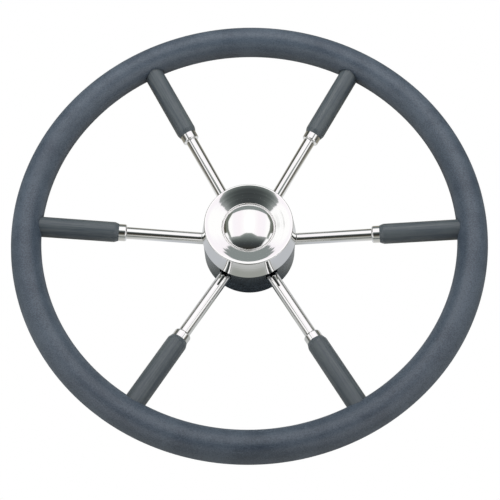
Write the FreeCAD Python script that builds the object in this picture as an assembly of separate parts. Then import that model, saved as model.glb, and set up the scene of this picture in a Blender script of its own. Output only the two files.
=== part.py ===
import FreeCAD, Part

import math
import os

# Six-spoke boat steering wheel, lying on the rear face of its hub.
# The steering shaft's axis is Z, +Z points at the person who steers, and spoke 1 points along +X.
# The origin is on that axis, in the hub's rear face. Lengths are in millimetres, angles in degrees.

# Rim: a ring of steel tube inside a moulded oval grip, which leans in at the top
overall_diameter = 500.0
rim_height = 64.0
grip_width = 31.2
grip_height = 36.0
grip_lean = 12.0
core_diameter = 16.0
core_wall = 1.5

# Spokes: steel tubes that climb from the hub to the rim
spoke_count = 6
spoke_diameter = 12.7
spoke_wall = 1.5
spoke_exit_height = 35.4
spoke_seat_depth = 7.0

# Sleeve on the outer part of each spoke
sleeve_diameter = 21.5
sleeve_length = 80.5
sleeve_cone_angle = 20.0
sleeve_bend_radius = 6.0
sleeve_tip_step = 0.2
sleeve_end_gap = 1.0

# Ferrule that closes each sleeve
ferrule_diameter = 18.0
ferrule_length = 8.5
ferrule_spigot_length = 6.0
ferrule_spigot_step = 1.3
ferrule_edge_radius = 2.0

# Boss: the turned centre that takes the shaft and carries the spokes
boss_diameter = 48.0
boss_height = 42.0
boss_chamfer = 0.8
neck_diameter = 39.0
neck_height = 58.0
shaft_diameter = 19.05
taper_ratio = 12.0
taper_length = 36.0
keyway_width = 4.76
keyway_depth = 2.38
nut_recess_diameter = 28.0

# Cap: a pressed cup over the front of the hub
hub_diameter = 100.0
cap_sheet = 1.2
skirt_edge_height = 46.0
lip_diameter = 93.6
lip_height = 73.1
lip_radius = 2.0
dish_angle = 26.7
recess_diameter = 57.0
recess_floor_height = 62.7
recess_edge_radius = 1.6
recess_corner_radius = 0.25

# Button: the domed nut that clamps the cap to the boss
button_wall = 2.5
button_skirt_depth = 14.0
bead_diameter = 56.4
bead_width = 2.7
dome_edge_height = 1.9
dome_edge_radius = 0.9
dome_sphere_radius = 45.5

# Shroud: the moulded rear half of the hub
shroud_step = 0.5
shroud_wall = 3.5
shroud_floor = 4.0
shroud_corner_radius = 3.5
shroud_spigot_height = 4.0
collar_wall = 3.5
collar_height = 20.0
rib_height = 3.0
rib_depth = 0.8
rib_base = 14.0

# Clearances
slot_clearance = 0.6
spigot_clearance = 0.3
hole_clearance = 0.3

# Values that follow from the sizes above
grip_end_radius = grip_width / 2
grip_end_offset = (grip_height - grip_width) / 2
core_radius = core_diameter / 2
spoke_radius = spoke_diameter / 2
sleeve_radius = sleeve_diameter / 2
ferrule_radius = ferrule_diameter / 2
boss_radius = boss_diameter / 2
neck_radius = neck_diameter / 2
hub_radius = hub_diameter / 2
rim_radius = overall_diameter / 2 - grip_end_radius - grip_end_offset * math.sin(math.radians(grip_lean))
spoke_rise = rim_height - spoke_exit_height
spoke_run = rim_radius - hub_radius
spoke_slope = math.atan2(spoke_rise, spoke_run)
spoke_end = (rim_radius - boss_radius) / math.cos(spoke_slope) + spoke_seat_depth
sleeve_end = core_radius + sleeve_end_gap
sleeve_tip = grip_end_radius + sleeve_length
spigot_radius = ferrule_radius - ferrule_spigot_step
button_skirt_radius = neck_radius + button_wall
shroud_radius = hub_radius - shroud_step
shroud_bore = shroud_radius - shroud_wall
margin = 1.0


def along_spoke(shape):
    """Moves a shape drawn about Z onto spoke 1.

    Its Z then runs inwards along the spoke from the rim's centre line, and its X points up.
    """
    turn = FreeCAD.Rotation(FreeCAD.Vector(0, 1, 0), -90 - math.degrees(spoke_slope))
    shape.Placement = FreeCAD.Placement(FreeCAD.Vector(rim_radius, 0, rim_height), turn)
    return shape


def round_spokes(shape):
    """Copies of a shape on spoke 1, one for each spoke, in order round the wheel."""
    copies = []
    for number in range(spoke_count):
        copy = shape.copy()
        copy.rotate(FreeCAD.Vector(0, 0, 0), FreeCAD.Vector(0, 0, 1), 360.0 / spoke_count * number)
        copies.append(copy)
    return copies


def point(radius, height):
    return FreeCAD.Vector(radius, 0, height)


def line(start, end):
    return Part.LineSegment(start, end).toShape()


def arc(centre, radius, from_angle, to_angle):
    """An arc in the XZ plane, with its angles counted from +X towards +Z."""
    ends = []
    for angle in (from_angle, (from_angle + to_angle) / 2, to_angle):
        across = radius * math.cos(math.radians(angle))
        up = radius * math.sin(math.radians(angle))
        ends.append(centre + FreeCAD.Vector(across, 0, up))
    return Part.Arc(*ends).toShape()


def first_point(edge):
    return edge.valueAt(edge.FirstParameter)


def last_point(edge):
    return edge.valueAt(edge.LastParameter)


def turned(edges):
    """A solid turned about Z. Its section is the edges in order, with a straight line across each gap."""
    outline = []
    for number, edge in enumerate(edges):
        outline.append(edge)
        end = last_point(edge)
        start = first_point(edges[(number + 1) % len(edges)])
        if (end - start).Length > 1e-6:
            outline.append(line(end, start))
    face = Part.Face(Part.Wire(outline))
    return face.revolve(FreeCAD.Vector(0, 0, 0), FreeCAD.Vector(0, 0, 1), 360)


def turned_steps(corners):
    """A turned solid whose section has straight sides through the given (radius, height) corners."""
    points = [point(*corner) for corner in corners]
    edges = [line(a, b) for a, b in zip(points, points[1:])]
    return turned(edges)


def bar(radius, start, end):
    """A round bar about Z."""
    return Part.makeCylinder(radius, end - start, FreeCAD.Vector(0, 0, start))


def ring(section_radius):
    """A round bar bent into a full ring on the rim's centre line."""
    centre = FreeCAD.Vector(0, 0, rim_height)
    return Part.makeTorus(rim_radius, section_radius, centre)


def rim_core():
    """The steel tube inside the rim."""
    return ring(core_radius).cut(ring(core_radius - core_wall))


def rim_grip():
    """The moulded grip, with a socket for the end of each spoke and its sleeve.

    Its section has two parallel flanks and half-round ends.
    """
    lean = math.radians(grip_lean)
    offset = grip_end_offset * FreeCAD.Vector(-math.sin(lean), 0, math.cos(lean))
    centre = point(rim_radius, rim_height)
    solid = turned([
        arc(centre + offset, grip_end_radius, grip_lean, grip_lean + 180),
        arc(centre - offset, grip_end_radius, grip_lean + 180, grip_lean + 360),
    ])
    spoke_hole = along_spoke(bar(spoke_radius, 0, sleeve_end))
    sleeve_socket = along_spoke(bar(sleeve_radius, sleeve_end, grip_height))
    sockets = round_spokes(spoke_hole) + round_spokes(sleeve_socket)
    return solid.cut([ring(core_radius)] + sockets)


def spokes():
    """Tubes let into the boss at one end and shaped to the rim's tube at the other."""
    tube = bar(spoke_radius, 0, spoke_end).cut(bar(spoke_radius - spoke_wall, -margin, spoke_end + margin))
    return round_spokes(along_spoke(tube).cut(ring(core_radius)))


def sleeves():
    """Moulded tubes on the spokes. The inner end tapers to the ferrule and is bored for its spigot."""
    angle = math.radians(sleeve_cone_angle)
    tip_radius = ferrule_radius + sleeve_tip_step
    cone_step = sleeve_radius - sleeve_bend_radius * (1 - math.cos(angle)) - tip_radius
    bend_start = sleeve_tip - cone_step / math.tan(angle) - sleeve_bend_radius * math.sin(angle)
    bend_centre = point(sleeve_radius - sleeve_bend_radius, bend_start)
    spigot_start = sleeve_tip - ferrule_spigot_length
    solid = turned([
        line(point(spoke_radius, sleeve_end), point(sleeve_radius, sleeve_end)),
        arc(bend_centre, sleeve_bend_radius, 0, sleeve_cone_angle),
        line(point(tip_radius, sleeve_tip), point(spigot_radius, sleeve_tip)),
        line(point(spigot_radius, sleeve_tip), point(spigot_radius, spigot_start)),
        line(point(spigot_radius, spigot_start), point(spoke_radius, spigot_start)),
    ])
    return round_spokes(along_spoke(solid))


def ferrules():
    """Turned collars with rounded edges and a spigot that fills the sleeve's bore."""
    edge = ferrule_edge_radius
    end = sleeve_tip + ferrule_length
    spigot_start = sleeve_tip - ferrule_spigot_length
    solid = turned([
        line(point(spoke_radius, spigot_start), point(spigot_radius, spigot_start)),
        line(point(spigot_radius, sleeve_tip), point(ferrule_radius, sleeve_tip)),
        arc(point(ferrule_radius - edge, end - edge), edge, 0, 90),
        line(point(spoke_radius, end), point(spoke_radius, spigot_start)),
    ])
    return round_spokes(along_spoke(solid))


def hub_boss():
    """A stepped bar with a tapered, keyed bore for the shaft, a nut recess and a seat for each spoke."""
    rib_top = rib_base + rib_height
    mouth_radius = shaft_diameter / 2
    small_radius = mouth_radius - taper_length / (2 * taper_ratio)
    recess_radius = nut_recess_diameter / 2
    body = turned_steps([
        (small_radius, taper_length),
        (mouth_radius, 0),
        (boss_radius - boss_chamfer, 0),
        (boss_radius, boss_chamfer),
        (boss_radius, rib_base),
        (boss_radius - rib_depth, rib_base),
        (boss_radius - rib_depth, rib_top),
        (boss_radius, rib_top),
        (boss_radius, boss_height - boss_chamfer),
        (boss_radius - boss_chamfer, boss_height),
        (neck_radius, boss_height),
        (neck_radius, neck_height - boss_chamfer),
        (neck_radius - boss_chamfer, neck_height),
        (recess_radius, neck_height),
        (recess_radius, taper_length),
    ])
    seat = along_spoke(bar(spoke_radius, 0, spoke_end))
    return body.cut(round_spokes(seat) + [keyway(mouth_radius, small_radius)])


def keyway(mouth_radius, small_radius):
    """The key's slot, which runs along the tapered bore at one depth, on the +Y side."""
    half = keyway_width / 2
    corners = [
        FreeCAD.Vector(-half, 0, 0),
        FreeCAD.Vector(-half, mouth_radius + keyway_depth, 0),
        FreeCAD.Vector(-half, small_radius + keyway_depth, taper_length),
        FreeCAD.Vector(-half, 0, taper_length),
    ]
    face = Part.Face(Part.makePolygon(corners + corners[:1]))
    return face.extrude(FreeCAD.Vector(keyway_width, 0, 0))


def skirt_lean():
    """The angle by which the cap's skirt leans in, in degrees, so that it runs smoothly into the lip."""
    across = hub_radius - lip_centre().x
    down = lip_centre().z - skirt_edge_height
    reach = math.hypot(across, down)
    return math.degrees(math.acos(lip_radius / reach) - math.atan2(down, across))


def lip_centre():
    return point(lip_diameter / 2 - lip_radius, lip_height - lip_radius)


def recess_edge_centre():
    """Centre of the bend that leads smoothly from the dish down into its recess."""
    angle = math.radians(dish_angle)
    radius = recess_diameter / 2 + recess_edge_radius
    drop = (lip_centre().x - radius) * math.tan(angle)
    rise = (lip_radius - recess_edge_radius) / math.cos(angle)
    return point(radius, lip_centre().z - drop + rise)


def skirt_foot(depth):
    """Radius of the skirt at its lower edge, the given depth inside its outer face."""
    return hub_radius - depth / math.cos(math.radians(skirt_lean()))


def hub_cap():
    """Pressed sheet: a leaning skirt, a rounded lip, and a dish with a flat-floored recess round its hole."""
    hole_radius = button_skirt_radius + hole_clearance
    inner_floor = recess_floor_height - cap_sheet
    lean = skirt_lean()
    crest = 90 + dish_angle
    edge_centre = recess_edge_centre()
    corner = recess_corner_radius
    corner_centre = point(recess_diameter / 2 - corner, recess_floor_height + corner)
    return turned([
        arc(lip_centre(), lip_radius, lean, crest),
        arc(edge_centre, recess_edge_radius, crest, 180),
        arc(corner_centre, corner, 0, -90),
        line(point(hole_radius, recess_floor_height), point(hole_radius, inner_floor)),
        arc(corner_centre, corner + cap_sheet, -90, 0),
        arc(edge_centre, recess_edge_radius - cap_sheet, 180, crest),
        arc(lip_centre(), lip_radius - cap_sheet, crest, lean),
        line(point(skirt_foot(cap_sheet), skirt_edge_height), point(hub_radius, skirt_edge_height)),
    ])


def centre_button():
    """A domed nut with a half-round bead on its flange, hollow and screwed onto the boss's neck."""
    floor = recess_floor_height
    bead_radius = bead_width / 2
    bead_centre = point(bead_diameter / 2 - bead_radius, floor)
    groove_radius = bead_diameter / 2 - bead_width
    edge = dome_edge_radius
    dome_half_angle = math.degrees(math.asin((groove_radius - edge) / (dome_sphere_radius - edge)))
    sphere_drop = (dome_sphere_radius - edge) * math.cos(math.radians(dome_half_angle))
    sphere_centre = point(0, floor + dome_edge_height - sphere_drop)
    edge_centre = point(groove_radius - edge, floor + dome_edge_height)
    ceiling_radius = dome_sphere_radius - button_wall
    ceiling_angle = math.degrees(math.acos(neck_radius / ceiling_radius))
    skirt_base = floor - button_skirt_depth
    return turned([
        arc(bead_centre, bead_radius, 0, 180),
        arc(edge_centre, edge, 0, 90 - dome_half_angle),
        arc(sphere_centre, dome_sphere_radius, 90 - dome_half_angle, 90),
        arc(sphere_centre, ceiling_radius, 90, ceiling_angle),
        line(point(neck_radius, skirt_base), point(button_skirt_radius, skirt_base)),
        line(point(button_skirt_radius, floor), point(bead_diameter / 2, floor)),
    ])


def hub_shroud():
    """A moulded cup: its collar grips the boss with a rib, and its spigot fits inside the cap's skirt."""
    corner = shroud_corner_radius
    spigot_foot = skirt_foot(cap_sheet) - spigot_clearance
    spigot_lean = shroud_spigot_height * math.tan(math.radians(skirt_lean()))
    top = skirt_edge_height + shroud_spigot_height
    collar_radius = boss_radius + collar_wall
    rib_top = rib_base + rib_height
    cup = turned([
        arc(point(shroud_radius - corner, corner), corner, -90, 0),
        line(point(shroud_radius, skirt_edge_height), point(spigot_foot, skirt_edge_height)),
        line(point(spigot_foot - spigot_lean, top), point(shroud_bore, top)),
        line(point(shroud_bore, shroud_floor), point(collar_radius, shroud_floor)),
        line(point(collar_radius, collar_height), point(boss_radius, collar_height)),
        line(point(boss_radius, rib_top), point(boss_radius - rib_depth, rib_top)),
        line(point(boss_radius - rib_depth, rib_base), point(boss_radius, rib_base)),
        line(point(boss_radius, boss_chamfer), point(boss_radius - boss_chamfer, 0)),
    ])
    return cup.cut(round_spokes(spoke_slot()))


def spoke_slot():
    """A slot with a round bottom, open upwards, that lets spoke 1 through the shroud's wall."""
    half = spoke_radius + slot_clearance
    start = (rim_radius - shroud_radius) / math.cos(spoke_slope) - half
    length = shroud_wall + 2 * half
    height = skirt_edge_height + shroud_spigot_height
    bottom = bar(half, start, start + length)
    sides = Part.makeBox(height, 2 * half, length, FreeCAD.Vector(0, -half, start))
    return along_spoke(bottom.fuse(sides))


def save(name, shape):
    shape.exportStep(os.path.join("parts", name + ".step"))


def main():
    os.makedirs("parts", exist_ok=True)
    save("rim_grip", rim_grip())
    save("rim_core", rim_core())
    save("hub_boss", hub_boss())
    save("hub_cap", hub_cap())
    save("centre_button", centre_button())
    save("hub_shroud", hub_shroud())
    for name, make in (("spoke", spokes), ("sleeve", sleeves), ("ferrule", ferrules)):
        for number, shape in enumerate(make(), start=1):
            save(f"{name}_{number}", shape)


main()
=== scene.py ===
import math
import bpy
import numpy as np
from mathutils import Matrix, Vector


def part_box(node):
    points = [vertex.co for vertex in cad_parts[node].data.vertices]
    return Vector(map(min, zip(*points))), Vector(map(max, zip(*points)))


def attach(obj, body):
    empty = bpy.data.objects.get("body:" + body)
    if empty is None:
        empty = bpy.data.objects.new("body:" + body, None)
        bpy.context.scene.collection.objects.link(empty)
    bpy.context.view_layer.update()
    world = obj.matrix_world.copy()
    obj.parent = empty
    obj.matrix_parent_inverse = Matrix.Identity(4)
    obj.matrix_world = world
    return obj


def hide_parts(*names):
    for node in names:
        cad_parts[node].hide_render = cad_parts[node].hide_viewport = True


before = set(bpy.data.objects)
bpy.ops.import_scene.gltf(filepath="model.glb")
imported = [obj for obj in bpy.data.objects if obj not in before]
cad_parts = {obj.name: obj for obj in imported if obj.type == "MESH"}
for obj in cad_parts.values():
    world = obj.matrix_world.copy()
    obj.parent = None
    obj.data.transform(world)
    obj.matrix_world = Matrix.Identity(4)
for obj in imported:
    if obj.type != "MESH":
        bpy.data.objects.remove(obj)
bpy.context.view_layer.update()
mm = 0.001
print("frame:", len(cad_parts), "nodes")


# ---- the wheel's main lines; where the rim lies is read from the frame

wheel = {
    "spokes": 6,
    "hubRadius": 50 * mm,
    "spokeExitHeight": 35.4 * mm,   # of a spoke's axis, at the hub's radius
    "coreRadius": 8 * mm,
    "spokeRadius": 6.35 * mm,
    "gripEnd": 15.6 * mm,           # radius of the grip's two half-round ends
    "gripOffset": 2.4 * mm,         # from the section's middle to the middle of each end
    "gripLean": math.radians(12),
    "segments": 96,                 # round the pieces of a spoke
}
rimLow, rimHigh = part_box("rim_grip")
rimHeight = (rimHigh.z + rimLow.z) / 2
rimRadius = rimHigh.x - wheel["gripEnd"] - wheel["gripOffset"] * math.sin(wheel["gripLean"])
slope = math.atan2(rimHeight - wheel["spokeExitHeight"], rimRadius - wheel["hubRadius"])


# ---- shader maths

class Wire:
    # a shader socket that can be used in sums
    def __init__(self, tree, socket=None):
        self.tree = tree
        self.socket = socket

    def node(self, kind, settings=None, values=None, output=0):
        made = self.tree.nodes.new("ShaderNode" + kind)
        for name, value in (settings or {}).items():
            if name == "stops":
                setStops(made.color_ramp.elements, value)
            else:
                setattr(made, name, value)
        for name, value in (values or {}).items():
            if isinstance(value, Wire):
                self.tree.links.new(value.socket, made.inputs[name])
            else:
                made.inputs[name].default_value = value
        return Wire(self.tree, made.outputs[output])

    def sum(self, operation, first, second=0.0):
        return self.node("Math", {"operation": operation}, {0: first, 1: second})

    def __add__(self, other):
        return self.sum("ADD", self, other)

    def __radd__(self, other):
        return self.sum("ADD", other, self)

    def __sub__(self, other):
        return self.sum("SUBTRACT", self, other)

    def __rsub__(self, other):
        return self.sum("SUBTRACT", other, self)

    def __mul__(self, other):
        return self.sum("MULTIPLY", self, other)

    def __rmul__(self, other):
        return self.sum("MULTIPLY", other, self)

    def __truediv__(self, other):
        return self.sum("DIVIDE", self, other)

    def __abs__(self):
        return self.sum("ABSOLUTE", self)

    def step(self, low, high):
        # 0 below low, 1 above high, smooth between
        settings = {"interpolation_type": "SMOOTHSTEP"}
        return self.node("MapRange", settings, {"Value": self, "From Min": low, "From Max": high})

    def blend(self, first, second):
        # a colour, first where this is 0 and second where it is 1; 6, 7 and 2 are its colour sockets
        return self.node("Mix", {"data_type": "RGBA"}, {0: self, 6: first, 7: second}, output=2)

    def stretched(self, scale):
        return self.node("VectorMath", {"operation": "MULTIPLY"}, {0: self, 1: scale})

    def length(self):
        return self.node("VectorMath", {"operation": "LENGTH"}, {0: self}, output="Value")

    def part(self, axis):
        return self.node("SeparateXYZ", None, {0: self}, output=axis)

    def noise(self, scale, detail=2.0, roughness=0.5):
        values = {"Vector": self, "Scale": scale, "Detail": detail, "Roughness": roughness}
        return self.node("TexNoise", None, values)

    def bump(self, depth, strength=1.0):
        # a shading normal, with this as the height
        return self.node("Bump", None, {"Strength": strength, "Distance": depth, "Height": self})


def setStops(elements, stops):
    while len(elements) < len(stops):
        elements.new(1.0)
    for element, (position, colour) in zip(elements, stops):
        element.position = position
        element.color = colour


def paint(red, green, blue):
    # sRGB values from 0 to 255 as a linear colour
    linear = []
    for value in (red, green, blue):
        share = value / 255
        linear.append(share / 12.92 if share <= 0.04045 else ((share + 0.055) / 1.055) ** 2.4)
    return (*linear, 1.0)


def newMaterial(name):
    material = bpy.data.materials.new(name)
    material.use_nodes = True
    material.node_tree.nodes.clear()
    return material, Wire(material.node_tree)


def finishMaterial(sheet, shader):
    output = sheet.tree.nodes.new("ShaderNodeOutputMaterial")
    sheet.tree.links.new(shader.socket, output.inputs["Surface"])


def principled(material, sheet, values):
    finishMaterial(sheet, sheet.node("BsdfPrincipled", None, values))
    return material


# ---- finishes

steel = {
    "colour": (0.93, 0.925, 0.918, 1.0),
    "roughness": 0.045,
    "smudges": 0.03,               # what they add to the roughness
    "smudgeScale": 45.0,
    "smudgeScaleOnTubes": 60.0,
    "ringDepth": 0.055 * mm,       # ripples left by spinning and buffing the dish
    "ringWidth": 3.6 * mm,
    "ringsBetween": (29 * mm, 34 * mm),    # radii over which they grow
    "ringsInside": 0.15,           # their share of the depth on the button
    "heightShare": 1.3,            # how much height counts beside radius
    "drawDepth": 0.004 * mm,       # fine lines along the drawn tubes
    "drawScale": 900.0,
    "drawStretch": (1.0, 1.0, 0.02),
}


def spunSteel():
    # the cap and the button: ripples run round the axis
    material, sheet = newMaterial("spun polished steel")
    place = sheet.node("TexCoord", output="Object")
    radius = place.stretched((1.0, 1.0, 0.0)).length()
    height = place.part(2) * steel["heightShare"]
    across = sheet.node("CombineXYZ", None, {0: radius, 1: height, 2: 0.0})
    ripple = across.noise(1 / steel["ringWidth"], detail=1.5)
    inside = steel["ringsInside"]
    ripple = ripple * (inside + (1 - inside) * radius.step(*steel["ringsBetween"]))
    smudge = place.noise(steel["smudgeScale"], detail=3.0)
    return principled(material, sheet, {
        "Base Color": steel["colour"],
        "Metallic": 1.0,
        "Roughness": steel["roughness"] + steel["smudges"] * smudge,
        "Normal": ripple.bump(steel["ringDepth"]),
    })


def drawnSteel():
    # the tubes: fine lines run along them
    material, sheet = newMaterial("drawn polished steel")
    place = sheet.node("Attribute", {"attribute_name": "ownPlace"}, output="Vector")
    lines = place.stretched(steel["drawStretch"]).noise(steel["drawScale"])
    smudge = place.noise(steel["smudgeScaleOnTubes"], detail=3.0)
    return principled(material, sheet, {
        "Base Color": steel["colour"],
        "Metallic": 1.0,
        "Roughness": steel["roughness"] + steel["smudges"] * smudge,
        "Normal": lines.bump(steel["drawDepth"]),
    })


machined = {
    "dark": (0.52, 0.51, 0.50, 1.0),
    "light": (0.60, 0.59, 0.57, 1.0),
    "cloudScale": 60.0,
    "roughness": 0.28,
    "turningRoughness": 0.1,
    "turningDepth": 0.01 * mm,
    "turningStrength": 0.6,
    "turningScale": 2500.0,
    "turningStretch": (0.05, 0.05, 1.0),
}


def machinedSteel():
    # the boss and the rim's core, turned and left bright but not polished
    material, sheet = newMaterial("machined steel")
    place = sheet.node("TexCoord", output="Object")
    turning = place.stretched(machined["turningStretch"]).noise(machined["turningScale"])
    return principled(material, sheet, {
        "Base Color": place.noise(machined["cloudScale"]).blend(machined["dark"], machined["light"]),
        "Metallic": 1.0,
        "Roughness": machined["roughness"] + machined["turningRoughness"] * turning,
        "Normal": turning.bump(machined["turningDepth"], machined["turningStrength"]),
    })


grip = {
    "fleckDark": paint(33, 45, 60),
    "fleckLight": paint(67, 79, 93),
    "fleckBetween": (0.35, 0.65),
    "grainShare": 0.7,        # of the flecks, the rest is cloud
    "roughness": 0.38,
    "edgeRoughness": 0.25,    # more of it where the surface turns away
    "cloudRoughness": 0.08,
    "cloudScale": 35.0,
    "specular": 0.9,
    "grain": 1.1 * mm,
    "grainDepth": 0.07 * mm,
}


def gripPlastic():
    material, sheet = newMaterial("slate grip")
    place = sheet.node("TexCoord", output="Object")
    grain = place.noise(1 / grip["grain"], roughness=0.6)
    cloud = place.noise(grip["cloudScale"], detail=3.0)
    fleck = grain * grip["grainShare"] + cloud * (1 - grip["grainShare"])
    fleck = fleck.step(*grip["fleckBetween"])
    edge = sheet.node("LayerWeight", None, {"Blend": 0.5}, output="Facing")
    rougher = grip["cloudRoughness"] * cloud + grip["edgeRoughness"] * edge
    return principled(material, sheet, {
        "Base Color": fleck.blend(grip["fleckDark"], grip["fleckLight"]),
        "Roughness": grip["roughness"] + rougher,
        "Specular IOR Level": grip["specular"],
        "Normal": grain.bump(grip["grainDepth"]),
    })


sleeve = {
    "dark": paint(51, 60, 70),
    "light": paint(75, 83, 88),
    "toneBetween": (0.3, 0.7),
    "lineShare": 0.6,         # of the tone, the rest is cloud
    "roughness": 0.34,
    "cloudRoughness": 0.08,
    "cloudScale": 40.0,
    "specular": 0.65,
    "lineDepth": 0.01 * mm,   # fine lines along it
    "lineScale": 700.0,
    "lineStretch": (1.0, 1.0, 0.03),
    "length": 80.5 * mm,
    "radius": 10.75 * mm,
    "coneAngle": 20,          # degrees
    "bendRadius": 6 * mm,
    "tipStep": 0.2 * mm,
    "endGap": 1 * mm,         # to the rim's core
    "edge": 0.3 * mm,
}


def sleevePlastic():
    material, sheet = newMaterial("slate sleeve")
    place = sheet.node("Attribute", {"attribute_name": "ownPlace"}, output="Vector")
    lines = place.stretched(sleeve["lineStretch"]).noise(sleeve["lineScale"])
    cloud = place.noise(sleeve["cloudScale"])
    tone = lines * sleeve["lineShare"] + cloud * (1 - sleeve["lineShare"])
    tone = tone.step(*sleeve["toneBetween"])
    return principled(material, sheet, {
        "Base Color": tone.blend(sleeve["dark"], sleeve["light"]),
        "Roughness": sleeve["roughness"] + sleeve["cloudRoughness"] * cloud,
        "Specular IOR Level": sleeve["specular"],
        "Normal": lines.bump(sleeve["lineDepth"]),
    })


shroud = {
    "dark": paint(26, 33, 39),
    "light": paint(50, 60, 68),
    "toneBetween": (0.3, 0.7),
    "roughness": 0.18,
    "grainRoughness": 0.1,
    "specular": 0.7,
    "grain": 0.9 * mm,
    "grainDepth": 0.03 * mm,
}


def shroudPlastic():
    material, sheet = newMaterial("shroud plastic")
    place = sheet.node("TexCoord", output="Object")
    grain = place.noise(1 / shroud["grain"], roughness=0.6)
    return principled(material, sheet, {
        "Base Color": grain.step(*shroud["toneBetween"]).blend(shroud["dark"], shroud["light"]),
        "Roughness": shroud["roughness"] + shroud["grainRoughness"] * grain,
        "Specular IOR Level": shroud["specular"],
        "Normal": grain.bump(shroud["grainDepth"]),
    })


spunFinish = spunSteel()
drawnFinish = drawnSteel()
machinedFinish = machinedSteel()
gripFinish = gripPlastic()
sleeveFinish = sleevePlastic()
shroudFinish = shroudPlastic()
print("finishes made")


# ---- turned pieces

def arcPoints(centre, radius, start, end, steps=12):
    # angles in degrees from outwards towards up
    points = []
    for number in range(steps + 1):
        angle = math.radians(start + (end - start) * number / steps)
        points.append(Vector(centre) + radius * Vector((math.cos(angle), math.sin(angle))))
    return points


def shareBetween(value, low, high):
    return min(max((value - low) / (high - low), 0), 1)


def isOnAxis(point):
    return point.x < 0.001 * mm


# how the corners of an outline are softened
rounding = {
    "sharp": math.radians(20),    # a corner that turns less stays as it is
    "widest": 2.0,                # radians; one that turns more is cut as if it turned by this
    "sideShare": 0.45,            # of a side, so that the arcs at its two ends don't meet
    "steps": 4,
}


def softened(outline, radius):
    # each sharp corner of a closed outline becomes a small arc
    points = [Vector(place) for place in outline]
    result = []
    for number, corner in enumerate(points):
        back = points[number - 1] - corner
        ahead = points[(number + 1) % len(points)] - corner
        turn = math.pi - back.angle(ahead)
        if turn < rounding["sharp"] or isOnAxis(corner):
            result.append(corner)
            continue
        longest = rounding["sideShare"] * min(back.length, ahead.length)
        cut = min(radius * math.tan(min(turn, rounding["widest"]) / 2), longest)
        start = corner + back.normalized() * cut
        end = corner + ahead.normalized() * cut
        for step in range(rounding["steps"] + 1):
            share = step / rounding["steps"]
            result.append(start.lerp(corner, share).lerp(corner.lerp(end, share), share))
    return result


def outlineNormals(points):
    # outward normals of a counter-clockwise outline; at each point the longer side counts for more
    normals = []
    for number, here in enumerate(points):
        total = Vector((0, 0))
        for start, end in ((points[number - 1], here), (here, points[(number + 1) % len(points)])):
            run = end - start
            if isOnAxis(start) and isOnAxis(end):
                continue
            total += Vector((run.y, -run.x)) * run.length
        normals.append(total.normalized())
    return normals


# the upward part of a normal, from where the flattening starts to where it is full
facingUp = (0.5, 0.8)


def flattened(outline, normals, slopeKept):
    # surfaces that face up are shaded a little flatter than they are
    for here, normal in zip(outline, normals):
        facesUp = shareBetween(normal.y, *facingUp)
        normal.x *= 1 - (1 - slopeKept(here.x)) * facesUp
        normal.normalize()
    return normals


def link(name, data):
    made = bpy.data.objects.new(name, data)
    bpy.context.scene.collection.objects.link(made)
    return made


def turned(name, outline, segments, finish, place=None, slopeKept=None):
    # a piece turned about Z, or about a spoke's axis when a place is given
    normals = outlineNormals(outline)
    if slopeKept is not None:
        normals = flattened(outline, normals, slopeKept)
    angles = [2 * math.pi * number / segments for number in range(segments)]
    vertices, directions, rings = [], [], []
    for here, normal in zip(outline, normals):
        if isOnAxis(here):
            rings.append([len(vertices)] * (segments + 1))
            vertices.append((0, 0, here.y))
            directions.append((0, 0, math.copysign(1, normal.y)))
            continue
        rings.append([len(vertices) + number % segments for number in range(segments + 1)])
        for angle in angles:
            across, up = math.cos(angle), math.sin(angle)
            vertices.append((here.x * across, here.x * up, here.y))
            directions.append((normal.x * across, normal.x * up, normal.y))
    faces = []
    for number, ring in enumerate(rings):
        above = rings[(number + 1) % len(rings)]
        for side in range(segments):
            corners = [ring[side], ring[side + 1], above[side + 1], above[side]]
            face = list(dict.fromkeys(corners))
            if len(face) > 2:
                faces.append(face)
    mesh = bpy.data.meshes.new(name)
    mesh.from_pydata(vertices, [], faces)
    own = mesh.attributes.new("ownPlace", "FLOAT_VECTOR", "POINT")
    own.data.foreach_set("vector", np.array(vertices, np.float32).ravel())
    normalTurn = Matrix.Identity(3)
    if place is not None:
        mesh.transform(place)
        normalTurn = place.to_3x3()
    mesh.shade_smooth()
    mesh.normals_split_custom_set_from_vertices([normalTurn @ Vector(way) for way in directions])
    mesh.materials.append(finish)
    return link(name, mesh)


def spokePlaces():
    # from a piece drawn about Z to each spoke: its Z runs inwards from the rim's centre line
    lie = Matrix.Translation((rimRadius, 0, rimHeight)) @ Matrix.Rotation(-math.pi / 2 - slope, 4, "Y")
    for number in range(wheel["spokes"]):
        yield number + 1, Matrix.Rotation(2 * math.pi * number / wheel["spokes"], 4, "Z") @ lie


def standFor(piece, node):
    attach(piece, "root")
    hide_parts(node)


cap = {
    "sheet": 1.2 * mm,
    "edgeHeight": 46 * mm,
    "lipDiameter": 93.6 * mm,
    "lipHeight": 73.1 * mm,
    "lipRadius": 1.4 * mm,
    "dishAngle": 26.7,        # degrees
    "recessRadius": 27.9 * mm,
    "recessEdge": 1.25 * mm,
    "recessCorner": 0.25 * mm,
    "floor": 62.7 * mm,
    "holeRadius": 22.3 * mm,
    "edge": 0.25 * mm,
    "dishSteps": 24,
    "segments": 256,
    # the share of its slope that the dish is shaded with, and the softer end of it by the lip
    "slopeKept": 0.79,
    "slopeKeptAtLip": 0.61,
    "softEnd": (40.4 * mm, 44.8 * mm),
}


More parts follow.
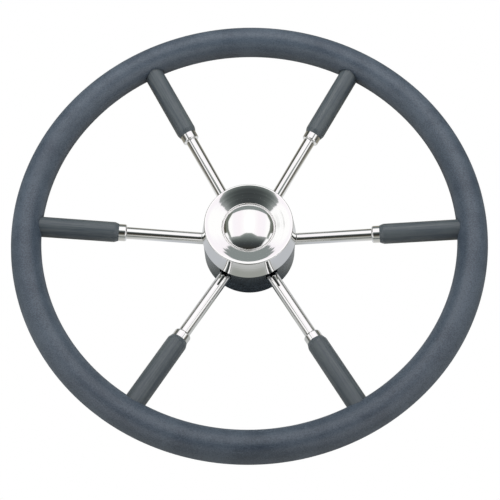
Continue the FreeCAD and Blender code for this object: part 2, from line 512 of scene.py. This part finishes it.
def makeCap():
    lip, sheet = cap["lipRadius"], cap["sheet"]
    lipMiddle = Vector((cap["lipDiameter"] / 2 - lip, cap["lipHeight"] - lip))
    across, down = wheel["hubRadius"] - lipMiddle.x, lipMiddle.y - cap["edgeHeight"]
    lean = math.degrees(math.acos(lip / math.hypot(across, down)) - math.atan2(down, across))
    crest = 90 + cap["dishAngle"]
    angle = math.radians(cap["dishAngle"])
    # the bend from the dish down into the recess is tangent to both
    bend, corner = cap["recessEdge"], cap["recessCorner"]
    bendRadius = cap["recessRadius"] + bend
    fall = (lipMiddle.x - bendRadius) * math.tan(angle)
    bendMiddle = (bendRadius, lipMiddle.y + (lip - bend) / math.cos(angle) - fall)
    cornerMiddle = (cap["recessRadius"] - corner, cap["floor"] + corner)
    foot = wheel["hubRadius"] - sheet / math.cos(math.radians(lean))
    lipEnd = arcPoints(lipMiddle, lip, crest, crest, steps=1)[0]
    bendStart = arcPoints(bendMiddle, bend, crest, crest, steps=1)[0]
    steps = cap["dishSteps"]
    outline = [
        *arcPoints(lipMiddle, lip, lean, crest, steps=24),
        *[lipEnd.lerp(bendStart, number / steps) for number in range(1, steps)],
        *arcPoints(bendMiddle, bend, crest, 180),
        *arcPoints(cornerMiddle, corner, 0, -90, steps=6),
        (cap["holeRadius"], cap["floor"]),
        (cap["holeRadius"], cap["floor"] - sheet),
        *arcPoints(cornerMiddle, corner + sheet, -90, 0),
        *arcPoints(bendMiddle, bend - sheet, 180, crest, steps=6),
        *arcPoints(lipMiddle, lip - sheet, crest, lean),
        (foot, cap["edgeHeight"]),
        (wheel["hubRadius"], cap["edgeHeight"]),
    ]

    def slopeKept(radius):
        soft = shareBetween(radius, *cap["softEnd"])
        return cap["slopeKept"] + (cap["slopeKeptAtLip"] - cap["slopeKept"]) * soft

    outline = softened(outline, cap["edge"])
    piece = turned("cap", outline, cap["segments"], spunFinish, slopeKept=slopeKept)
    standFor(piece, "hub_cap")


makeCap()
print("cap made")


button = {
    "wall": 2.5 * mm,
    "skirtDepth": 14 * mm,
    "neckRadius": 19.5 * mm,
    "beadDiameter": 55.3 * mm,
    "beadWidth": 1.5 * mm,
    "edgeHeight": 1.9 * mm,
    "edgeRadius": 0.9 * mm,
    "sphereRadius": 45.5 * mm,
    "edge": 0.2 * mm,
    "segments": 256,
    "slopeKept": 0.72,
}


def makeButton():
    floor = cap["floor"]
    bead = button["beadWidth"] / 2
    groove = button["beadDiameter"] / 2 - button["beadWidth"]
    edge = button["edgeRadius"]
    sphere = button["sphereRadius"]
    spread = math.degrees(math.asin((groove - edge) / (sphere - edge)))
    centre = (0, floor + button["edgeHeight"] - (sphere - edge) * math.cos(math.radians(spread)))
    ceiling = sphere - button["wall"]
    ceilingAngle = math.degrees(math.acos(button["neckRadius"] / ceiling))
    skirtRadius = button["neckRadius"] + button["wall"]
    base = floor - button["skirtDepth"]
    outline = [
        *arcPoints((button["beadDiameter"] / 2 - bead, floor), bead, 0, 180, steps=24),
        *arcPoints((groove - edge, floor + button["edgeHeight"]), edge, 0, 90 - spread, steps=10),
        *arcPoints(centre, sphere, 90 - spread, 90, steps=40)[1:],
        *arcPoints(centre, ceiling, 90, ceilingAngle, steps=16),
        (button["neckRadius"], base),
        (skirtRadius, base),
        (skirtRadius, floor),
    ]
    outline = softened(outline, button["edge"])
    kept = button["slopeKept"]
    piece = turned("button", outline, button["segments"], spunFinish, slopeKept=lambda radius: kept)
    standFor(piece, "centre_button")


makeButton()
print("button made")


ferrule = {
    "radius": 9 * mm,
    "length": 8.5 * mm,
    "spigotLength": 6 * mm,
    "spigotStep": 1.3 * mm,
    "edgeRadius": 2 * mm,
    "edge": 0.12 * mm,
}
sleeveTip = wheel["gripEnd"] + sleeve["length"]
spigotRadius = ferrule["radius"] - ferrule["spigotStep"]


def makeFerrules():
    end = sleeveTip + ferrule["length"]
    edge = ferrule["edgeRadius"]
    spigotStart = sleeveTip - ferrule["spigotLength"]
    outline = [
        (wheel["spokeRadius"], spigotStart),
        (spigotRadius, spigotStart),
        (spigotRadius, sleeveTip),
        (ferrule["radius"], sleeveTip),
        *arcPoints((ferrule["radius"] - edge, end - edge), edge, 0, 90, steps=10),
        (wheel["spokeRadius"], end),
    ]
    outline = softened(outline, ferrule["edge"])
    for number, place in spokePlaces():
        piece = turned(f"ferrule_{number}", outline, wheel["segments"], drawnFinish, place)
        standFor(piece, f"ferrule_{number}")


tube = {
    "wall": 1.5 * mm,
    "edge": 0.2 * mm,
    "bossRadius": 24 * mm,
    "seatDepth": 7 * mm,      # how far it is let into the boss
}


def makeSpokes():
    radius = wheel["spokeRadius"]
    bore = radius - tube["wall"]
    low = wheel["coreRadius"]
    high = (rimRadius - tube["bossRadius"]) / math.cos(slope) + tube["seatDepth"]
    outline = softened([(radius, low), (radius, high), (bore, high), (bore, low)], tube["edge"])
    for number, place in spokePlaces():
        piece = turned(f"spoke_{number}", outline, wheel["segments"], drawnFinish, place)
        standFor(piece, f"spoke_{number}")


def makeSleeves():
    start = wheel["coreRadius"] + sleeve["endGap"]
    tipRadius = ferrule["radius"] + sleeve["tipStep"]
    angle, bend = math.radians(sleeve["coneAngle"]), sleeve["bendRadius"]
    coneStep = sleeve["radius"] - bend * (1 - math.cos(angle)) - tipRadius
    bendStart = sleeveTip - coneStep / math.tan(angle) - bend * math.sin(angle)
    outline = [
        (wheel["spokeRadius"], start),
        (sleeve["radius"], start),
        *arcPoints((sleeve["radius"] - bend, bendStart), bend, 0, sleeve["coneAngle"], steps=8),
        (tipRadius, sleeveTip),
        (spigotRadius, sleeveTip),
        (spigotRadius, sleeveTip - ferrule["spigotLength"]),
        (wheel["spokeRadius"], sleeveTip - ferrule["spigotLength"]),
    ]
    outline = softened(outline, sleeve["edge"])
    for number, place in spokePlaces():
        piece = turned(f"sleeve_{number}", outline, wheel["segments"], sleeveFinish, place)
        standFor(piece, f"sleeve_{number}")


makeFerrules()
makeSpokes()
makeSleeves()
print("spokes, sleeves and ferrules made")


# ---- rim

rim = {
    "columnsAtSleeve": 60,      # close together where a sleeve goes in
    "columnsBetween": 70,
    "rows": 24,                 # to each half-round end
    "rowsInside": 10,
    "sleeveSpan": 4.0,          # degrees either side of a spoke
    "creaseDepth": 0.9 * mm,
    "creaseWidth": 1.6 * mm,
}


def spacedAngles(parts):
    # parts is (start, end, count) in degrees
    angles = []
    for start, end, count in parts:
        angles.extend(np.radians(np.linspace(start, end, count, endpoint=False)))
    return angles


def gripSection():
    # points round the grip's section, with their normals, in (outwards, up)
    lean = wheel["gripLean"]
    offset = Vector((-math.sin(lean), math.cos(lean))) * wheel["gripOffset"]
    section = []
    for side, begin in ((1, 0.0), (-1, math.pi)):
        for number in range(rim["rows"] + 1):
            angle = lean + begin + math.pi * number / rim["rows"]
            normal = Vector((math.cos(angle), math.sin(angle)))
            section.append((offset * side + normal * wheel["gripEnd"], normal))
        if side == 1:
            for number in range(1, rim["rowsInside"]):
                share = 1 - 2 * number / rim["rowsInside"]
                section.append((offset * share + normal * wheel["gripEnd"], normal))
    return section


def rimPoint(around, place, direction, spoke):
    # a point of the ring, drawn in a little round the sleeve of the nearest spoke
    turn = around - spoke
    outwards = Vector((math.cos(turn), math.sin(turn), 0))
    normal = outwards * direction.x + Vector((0, 0, direction.y))
    surface = outwards * (rimRadius + place.x) + Vector((0, 0, rimHeight + place.y))
    inwards = Vector((-math.cos(slope), 0, -math.sin(slope)))
    reach = surface - Vector((rimRadius, 0, rimHeight))
    along = reach.dot(inwards)
    distance = (reach - inwards * along).length - sleeve["radius"]
    if along > 0 and distance < rim["creaseWidth"]:
        share = 1 - max(distance, 0) / rim["creaseWidth"]
        surface -= normal * rim["creaseDepth"] * share * share * (3 - 2 * share)
    return Matrix.Rotation(spoke, 3, "Z") @ surface


def makeRim():
    half = 180 / wheel["spokes"]
    span = rim["sleeveSpan"]
    columns = []
    for number in range(wheel["spokes"]):
        middle = 2 * half * number
        sector = spacedAngles([
            (middle - half, middle - span, rim["columnsBetween"] // 2),
            (middle - span, middle + span, rim["columnsAtSleeve"]),
            (middle + span, middle + half, rim["columnsBetween"] // 2),
        ])
        columns.extend((around, math.radians(middle)) for around in sector)
    rows = gripSection()
    vertices = [rimPoint(around, *row, spoke) for around, spoke in columns for row in rows]
    faces = []
    for column in range(len(columns)):
        beside = (column + 1) % len(columns)
        for row in range(len(rows)):
            above = (row + 1) % len(rows)
            faces.append((column * len(rows) + row, beside * len(rows) + row,
                          beside * len(rows) + above, column * len(rows) + above))
    mesh = bpy.data.meshes.new("rim")
    mesh.from_pydata(vertices, [], faces)
    mesh.shade_smooth()
    mesh.materials.append(gripFinish)
    standFor(link("rim", mesh), "rim_grip")


makeRim()
print("rim made")


# ---- nodes of the frame that keep their shape

def dress(node, finish):
    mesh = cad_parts[node].data
    mesh.materials.clear()
    mesh.materials.append(finish)


dress("hub_shroud", shroudFinish)
dress("hub_boss", machinedFinish)
dress("rim_core", machinedFinish)


# ---- studio

sky = {
    "gain": 1.08,                   # makes up for what the steel swallows
    # a chart of degrees from straight up, to the right and to the back
    # the tent overhead, its colours by degrees to either side
    "tent": [
        (0, paint(255, 255, 255)),
        (9, paint(254, 253, 254)),
        (18, paint(250, 244, 249)),
        (29, paint(249, 245, 250)),
        (35, paint(255, 255, 255)),
        (90, paint(252, 252, 252)),
    ],
    "lampSpot": (1.05, 1.05, 1.05, 1.0),
    "lampPlace": (0.5, 27),
    "lampSpread": (10, 23),
    "lampFade": (0.6, 1.2),         # in shares of the spread
    # behind it a grey card, beyond an edge that bows forward
    "card": paint(132, 139, 138),
    "cardEdge": (60.3, 61.7),
    "cardBow": 0.0056,
    # its sides, which draw in towards both ends by so many degrees
    "tentEdge": (40, 42),
    "rearCorner": (34, 60),
    "rearDrawIn": 9,
    "frontCorner": (-4, 22),
    "frontDrawIn": 5,
    # beside it a grey edge, then dark flags
    "grey": paint(112, 117, 110),
    "greyStart": (-4, 0),
    "greyFade": (0, 13),
    "flag": paint(70, 68, 56),
    "flagStart": (46, 49),
    "flagEnd": (95, 110),
    # white panels further forward
    "panel": paint(253, 253, 254),
    "panelEdge": (45, 47),
    "panelStart": (11.5, 14),
    "panelEnd": (-5, -3),
    # a darker patch on each panel
    "patch": paint(96, 92, 80),
    "patchPlace": -13,
    "patchDepth": (8, 19),
    "patchStart": (46, 68),
    "patchEnd": (96, 108),
    # the gap that the picture was taken through, by degrees from straight up to the front
    "gap": [
        (0, paint(120, 128, 126)),
        (5, paint(99, 106, 104)),
        (10, paint(82, 88, 87)),
        (13, paint(68, 73, 73)),
        (18, paint(56, 60, 61)),
        (26, paint(50, 50, 47)),
        (36, paint(48, 45, 40)),
        (42, paint(78, 75, 68)),
        (48, paint(98, 96, 88)),
        (60, paint(152, 152, 146)),
        (90, paint(156, 158, 152)),
    ],
    "gapBack": paint(150, 156, 152),    # along its back edge
    "gapBackFade": (-5, 1),
    "gapSide": paint(142, 146, 146),    # in its far corners
    "gapSideStart": (5, 45),
    "gapSideEnd": (-9, -1),
    "gapMiddle": -3,
    "gapEdge": (-0.5, 1.5),
    "gapWidth": (37.5, 41.5),
    "gapTaper": 0.5,
    # its back edge bulges in the middle
    "bulgeMiddle": -1,
    "bulgeWidth": (4, 19),
    "bulge": 5.5,
    # low in front, its last colour reaches past its sides
    "nearStart": (-70, -55),
    "nearWidth": (30, 60),
}


def tentTone(sheet, right, back):
    side = abs(right)
    place, width = sky["lampPlace"], sky["lampSpread"]
    across, along = (right - place[0]) / width[0], (back - place[1]) / width[1]
    glow = 1 - (across * across + along * along).step(*sky["lampFade"])
    stops = [(angle / 90, colour) for angle, colour in sky["tent"]]
    tone = sheet.node("ValToRGB", {"stops": stops}, {0: side / 90})
    tone = glow.blend(tone, sky["lampSpot"])
    behind = (back + side * side * sky["cardBow"]).step(*sky["cardEdge"])
    return behind.blend(tone, sky["card"])


def sideTone(tone, right, back):
    side = abs(right)
    drawnIn = side + sky["rearDrawIn"] * back.step(*sky["rearCorner"])
    drawnIn = drawnIn + sky["frontDrawIn"] * (1 - back.step(*sky["frontCorner"]))
    grey = drawnIn.step(*sky["tentEdge"]) * back.step(*sky["greyStart"])
    tone = grey.blend(tone, back.step(*sky["greyFade"]).blend(sky["gapBack"], sky["grey"]))
    flag = side.step(*sky["flagStart"]) * (1 - side.step(*sky["flagEnd"]))
    tone = flag.blend(tone, sky["flag"])
    panel = drawnIn.step(*sky["panelEdge"]) * (1 - back.step(*sky["panelStart"]))
    panel = 1 - (1 - panel) * back.step(*sky["panelEnd"])
    tone = panel.blend(tone, sky["panel"])
    patch = 1 - abs(back - sky["patchPlace"]).step(*sky["patchDepth"])
    patch = patch * side.step(*sky["patchStart"]) * (1 - side.step(*sky["patchEnd"]))
    return patch.blend(tone, sky["patch"])


def gapTone(sheet, tone, right, back):
    aside = abs(right - sky["gapMiddle"])
    bulge = 1 - abs(right - sky["bulgeMiddle"]).step(*sky["bulgeWidth"])
    depth = back - sky["bulge"] * bulge
    inside = 1 - depth.step(*sky["gapEdge"])
    inside = inside * (1 - (aside - sky["gapTaper"] * back).step(*sky["gapWidth"]))
    stops = [(angle / 90, colour) for angle, colour in sky["gap"]]
    gap = sheet.node("ValToRGB", {"stops": stops}, {0: back / -90.0})
    gap = depth.step(*sky["gapBackFade"]).blend(gap, sky["gapBack"])
    corners = aside.step(*sky["gapSideStart"]) * back.step(*sky["gapSideEnd"])
    gap = corners.blend(gap, sky["gapSide"])
    tone = inside.blend(tone, gap)
    near = (1 - back.step(*sky["nearStart"])) * (1 - abs(right).step(*sky["nearWidth"]))
    return near.blend(tone, sky["gap"][-1][1])


def makeWorld():
    world = bpy.data.worlds.new("studio")
    world.use_nodes = True
    world.node_tree.nodes.clear()
    world.cycles.sampling_method = "NONE"
    sheet = Wire(world.node_tree)
    way = sheet.node("TexCoord", output="Generated")
    lean = sheet.sum("ARCCOSINE", way.part(2)) * (180 / math.pi)
    spread = lean / way.stretched((1.0, 1.0, 0.0)).length()
    right, back = way.part(0) * spread, way.part(1) * spread
    tone = sideTone(tentTone(sheet, right, back), right, back)
    tone = gapTone(sheet, tone, right, back).stretched((sky["gain"],) * 3)
    camera = sheet.node("LightPath", output="Is Camera Ray")
    level = camera.blend(tone, (1.0, 1.0, 1.0, 1.0))
    background = sheet.node("Background", None, {"Color": level, "Strength": 1.0})
    output = world.node_tree.nodes.new("ShaderNodeOutputWorld")
    world.node_tree.links.new(background.socket, output.inputs["Surface"])
    bpy.context.scene.world = world


ground = {
    "size": 12.0,
    "drop": 0.3 * mm,
    "plain": (0.75, 0.75, 0.75, 1.0),
    # what the steel sees of it is painted into an emission: darker in front of the hub than behind and
    # beside it
    "front": paint(184, 186, 185),
    "frontSide": paint(190, 193, 199),
    "near": paint(224, 225, 226),
    "middle": (30 * mm, 70 * mm),
    "frontEnd": (-20 * mm, 60 * mm),
    "sideStart": (80 * mm, 140 * mm),
    # further away
    "ahead": paint(168, 170, 166),
    "behind": paint(130, 127, 114),
    "aheadEnd": (-120 * mm, -30 * mm),
    "farStart": (100 * mm, 200 * mm),
    # painted shade round the hub and a painted contact shadow where it stands
    "shade": paint(150, 153, 148),
    "shadeEnd": (90 * mm, 102 * mm),
    "shadeAtSide": 0.2,
    "contactShade": paint(66, 70, 74),
    "contactEnd": (62 * mm, 76 * mm),
    "contactWidth": (30 * mm, 55 * mm),
}


def mirroredGround(place):
    radius = place.length()
    side, back = abs(place.part(0)), place.part(1)
    front = side.step(*ground["middle"]).blend(ground["front"], ground["frontSide"])
    tone = back.step(*ground["frontEnd"]).blend(front, ground["near"])
    tone = side.step(*ground["sideStart"]).blend(tone, ground["near"])
    far = back.step(*ground["aheadEnd"]).blend(ground["ahead"], ground["behind"])
    tone = radius.step(*ground["farStart"]).blend(tone, far)
    # painted shade round the hub, weaker beside it
    shade = 1 - (1 - ground["shadeAtSide"]) * side.step(*ground["middle"])
    shade = (1 - radius.step(*ground["shadeEnd"])) * shade
    tone = shade.blend(tone, ground["shade"])
    # painted contact shadow where the hub stands
    contactShade = (1 - radius.step(*ground["contactEnd"])) * (1 - side.step(*ground["contactWidth"]))
    tone = contactShade.blend(tone, ground["contactShade"])
    return tone.stretched((sky["gain"],) * 3)


def makeFloor():
    half = ground["size"] / 2
    corners = [(-half, -half), (half, -half), (half, half), (-half, half)]
    mesh = bpy.data.meshes.new("floor")
    mesh.from_pydata([(*corner, -ground["drop"]) for corner in corners], [], [(0, 1, 2, 3)])
    floor = link("floor", mesh)
    material, sheet = newMaterial("floor")
    material.cycles.emission_sampling = "NONE"
    place = sheet.node("TexCoord", output="Object")
    # to glossy rays the floor glows with these painted tones, painted shade and painted contact shadow
    mirrored = sheet.node("Emission", None, {"Color": mirroredGround(place)})
    plain = sheet.node("BsdfDiffuse", None, {"Color": ground["plain"]})
    white = sheet.node("Emission", None, {"Color": (1.0, 1.0, 1.0, 1.0)})
    camera = sheet.node("LightPath", output="Is Camera Ray")
    glossy = sheet.node("LightPath", output="Is Glossy Ray")
    shader = sheet.node("MixShader", None, {0: glossy, 1: plain, 2: mirrored})
    shader = sheet.node("MixShader", None, {0: camera, 1: shader, 2: white})
    # from below it can be looked through
    below = sheet.node("NewGeometry", output="Backfacing")
    clear = sheet.node("BsdfTransparent")
    finishMaterial(sheet, sheet.node("MixShader", None, {0: below, 1: shader, 2: clear}))
    mesh.materials.append(material)


# soft boxes that light the plastics: watts and place
lamps = {
    "back box": (8.0, (0.0, 0.6, 0.75)),
    "left box": (6.5, (-1.0, 0.0, 0.35)),
    "right box": (4.5, (1.0, 0.0, 0.35)),
}
softBox = {
    "colour": (1.0, 0.93, 0.82),
    "size": 0.5,
    "aim": (0.0, 0.1, 0.0),
}


def makeLamp(name, watts, place):
    light = bpy.data.lights.new(name, "AREA")
    light.shape = "SQUARE"
    light.size = softBox["size"]
    light.energy = watts
    light.color = softBox["colour"]
    lamp = link(name, light)
    lamp.location = place
    lamp.rotation_euler = (Vector(softBox["aim"]) - Vector(place)).to_track_quat("-Z", "Y").to_euler()
    lamp.visible_glossy = False


makeWorld()
makeFloor()
for name, (watts, place) in lamps.items():
    makeLamp(name, watts, place)
print("studio made")


# ---- camera

view = {
    "place": (0.02321, -0.47259, 1.05707),
    "aim": (0.00170, -0.02621, 0.06400),
    "level": (0.99978, 0.01433, -0.01522),    # the picture's left to right
    "lens": 75.3,
}


def makeCamera():
    lens = bpy.data.cameras.new("camera")
    lens.lens = view["lens"]
    camera = link("camera", lens)
    back = (Vector(view["place"]) - Vector(view["aim"])).normalized()
    right = Vector(view["level"]).normalized()
    up = back.cross(right).normalized()
    turn = Matrix((right, up, back)).transposed().to_4x4()
    camera.matrix_world = Matrix.Translation(view["place"]) @ turn
    bpy.context.scene.camera = camera
    bpy.context.scene.view_settings.view_transform = "Standard"


makeCamera()
